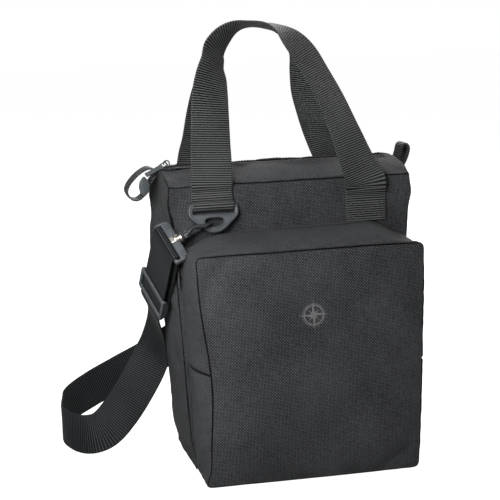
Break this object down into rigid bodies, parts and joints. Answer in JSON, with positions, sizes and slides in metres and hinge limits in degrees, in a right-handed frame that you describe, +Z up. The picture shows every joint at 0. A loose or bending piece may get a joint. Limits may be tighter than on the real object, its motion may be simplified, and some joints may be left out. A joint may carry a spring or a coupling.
{
  "type": "flight bag",
  "caption": "Soft upright flight bag with a zipped main compartment, a zipped front pocket, webbing carry handles and a clip-on shoulder strap.",
  "frame": {"origin": "centre of the main compartment base, on the floor", "axes": "+Z up, +X to the right when facing the pocket, the pocket on the -Y side"},
  "size_m": [0.3614, 0.2171, 0.4338],
  "materials": {
    "body_fabric": "coarse woven polyester, matt charcoal",
    "webbing": "ribbed polyester webbing, matt black",
    "zip_tape": "fine woven tape, matt black",
    "zip_chain": "moulded coil, satin black",
    "lining_fabric": "smooth nylon, dark grey",
    "foam": "closed-cell foam pad",
    "board_plastic": "stiffener board",
    "moulded_plastic": "moulded nylon, satin dark grey",
    "black_metal": "blackened zinc, worn bright on edges"
  },
  "bodies": {
    "bag": {"main_front_panel": "body_fabric", "main_back_panel": "body_fabric", "main_side_left": "body_fabric", "main_side_right": "body_fabric", "main_base_panel": "body_fabric", "base_board": "board_plastic", "foam_front": "foam", "foam_back": "foam", "foam_left": "foam", "foam_right": "foam", "lining": "lining_fabric", "top_strip_front": "body_fabric", "top_strip_rear": "body_fabric", "top_zip_tape_front": "zip_tape", "top_zip_tape_rear": "zip_tape", "top_zip_chain_front": "zip_chain", "top_zip_chain_rear": "zip_chain", "pocket_front_panel": "body_fabric", "pocket_gusset_lower": "body_fabric", "pocket_gusset_upper": "body_fabric", "pocket_zip_tape_front": "zip_tape", "pocket_zip_tape_rear": "zip_tape", "pocket_zip_chain_front": "zip_chain", "pocket_zip_chain_rear": "zip_chain", "front_handle_anchor": "webbing", "rear_handle_anchor": "webbing", "front_ring_leg": "webbing", "rear_ring_leg": "webbing"},
    "top_slider": {"top_slider": "black_metal"},
    "top_pull": {"top_pull_tab": "black_metal"},
    "top_grip": {"top_pull_grip": "moulded_plastic"},
    "pocket_slider_left": {"pocket_slider_left": "black_metal"},
    "pocket_pull_left": {"pocket_pull_left": "black_metal"},
    "pocket_slider_right": {"pocket_slider_right": "black_metal"},
    "pocket_pull_right": {"pocket_pull_right": "black_metal"},
    "front_handle": {"front_handle": "webbing"},
    "rear_handle": {"rear_handle": "webbing"},
    "front_ring": {"front_ring": "moulded_plastic"},
    "rear_ring": {"rear_ring": "moulded_plastic"},
    "shoulder_strap": {"shoulder_strap": "webbing", "front_hook_frame": "moulded_plastic", "rear_hook_frame": "moulded_plastic"},
    "front_hook": {"front_hook": "moulded_plastic"},
    "front_gate": {"front_hook_gate": "moulded_plastic"},
    "rear_hook": {"rear_hook": "moulded_plastic"},
    "rear_gate": {"rear_hook_gate": "moulded_plastic"},
    "strap_glide": {"strap_glide": "black_metal"},
    "end_tab_left": {"end_tab_left": "webbing"},
    "end_tab_right": {"end_tab_right": "webbing"}
  },
  "joints": [
    {"name": "front_handle_fold", "type": "hinge", "parent": "bag", "child": "front_handle", "pos_m": [0, -0.0548, 0.27], "axis": [1, 0, 0], "range_deg": [0, 110]},
    {"name": "rear_handle_fold", "type": "hinge", "parent": "bag", "child": "rear_handle", "pos_m": [0, 0.0548, 0.27], "axis": [-1, 0, 0], "range_deg": [0, 90]},
    {"name": "front_ring_swing", "type": "hinge", "parent": "bag", "child": "front_ring", "pos_m": [-0.078, -0.0569, 0.26], "axis": [1, 0, 0], "range_deg": [-3, 3]},
    {"name": "rear_ring_swing", "type": "hinge", "parent": "bag", "child": "rear_ring", "pos_m": [0.078, 0.0569, 0.26], "axis": [1, 0, 0], "range_deg": [-3, 3]},
    {"name": "strap_swing", "type": "hinge", "parent": "bag", "child": "shoulder_strap", "pos_m": [-0.088, -0.06265, 0.24231], "axis": [0.7797, 0.6262, 0], "range_deg": [0, 10]},
    {"name": "front_hook_swivel", "type": "hinge", "parent": "shoulder_strap", "child": "front_hook", "pos_m": [-0.12317, -0.06455, 0.22805], "axis": [0.9256, 0.05, 0.3752], "range_deg": [-8, 8]},
    {"name": "rear_hook_swivel", "type": "hinge", "parent": "shoulder_strap", "child": "rear_hook", "pos_m": [0.03531, 0.06265, 0.22293], "axis": [0.8601, 0, 0.5101], "range_deg": [-8, 8]},
    {"name": "front_hook_gate_open", "type": "hinge", "parent": "front_hook", "child": "front_gate", "pos_m": [-0.10305, -0.05718, 0.23499], "axis": [0.378, -0.1769, -0.9088], "range_deg": [0, 8], "stiffness_Nm_per_rad": 0.02},
    {"name": "rear_hook_gate_open", "type": "hinge", "parent": "rear_hook", "child": "rear_gate", "pos_m": [0.05389, 0.05625, 0.23394], "axis": [-0.5101, 0, 0.8601], "range_deg": [0, 8], "stiffness_Nm_per_rad": 0.02},
    {"name": "strap_length", "type": "slide", "parent": "shoulder_strap", "child": "strap_glide", "axis": [-0.05, 0.6698, -0.7408], "range_m": [-0.03, 0]},
    {"name": "top_zip_slide", "type": "slide", "parent": "bag", "child": "top_slider", "axis": [1, 0, 0], "range_m": [0, 0.095]},
    {"name": "top_pull_flip", "type": "hinge", "parent": "top_slider", "child": "top_pull", "pos_m": [-0.1119, 0, 0.2968], "axis": [0, 1, 0], "range_deg": [0, 198]},
    {"name": "top_grip_swing", "type": "hinge", "parent": "top_pull", "child": "top_grip", "pos_m": [-0.1325, -0.00281, 0.28697], "axis": [0, 1, 0], "range_deg": [-35, 60]},
    {"name": "pocket_zip_slide_left", "type": "slide", "parent": "bag", "child": "pocket_slider_left", "axis": [0.036, 0, -0.9994], "range_m": [0, 0.08]},
    {"name": "pocket_pull_left_swing", "type": "hinge", "parent": "pocket_slider_left", "child": "pocket_pull_left", "pos_m": [-0.11348, -0.05575, 0.20325], "axis": [0, 1, 0], "range_deg": [0, 10]},
    {"name": "pocket_zip_slide_right", "type": "slide", "parent": "bag", "child": "pocket_slider_right", "axis": [0.036, 0, 0.9994], "range_m": [0, 0.076]},
    {"name": "pocket_pull_right_swing", "type": "hinge", "parent": "pocket_slider_right", "child": "pocket_pull_right", "pos_m": [0.11063, -0.05575, 0.12425], "axis": [0, -1, 0], "range_deg": [0, 150]},
    {"name": "end_tab_left_flop", "type": "hinge", "parent": "bag", "child": "end_tab_left", "pos_m": [-0.1215, 0.013, 0.288], "axis": [0, 1, 0], "range_deg": [-10, 45]},
    {"name": "end_tab_right_flop", "type": "hinge", "parent": "bag", "child": "end_tab_right", "pos_m": [0.1215, 0.013, 0.2805], "axis": [0, 1, 0], "range_deg": [-10, 30]}
  ],
  "couplings": [
    {"joint": "top_pull_flip", "follows": "top_zip_slide", "rad_per_m": 36}
  ]
}
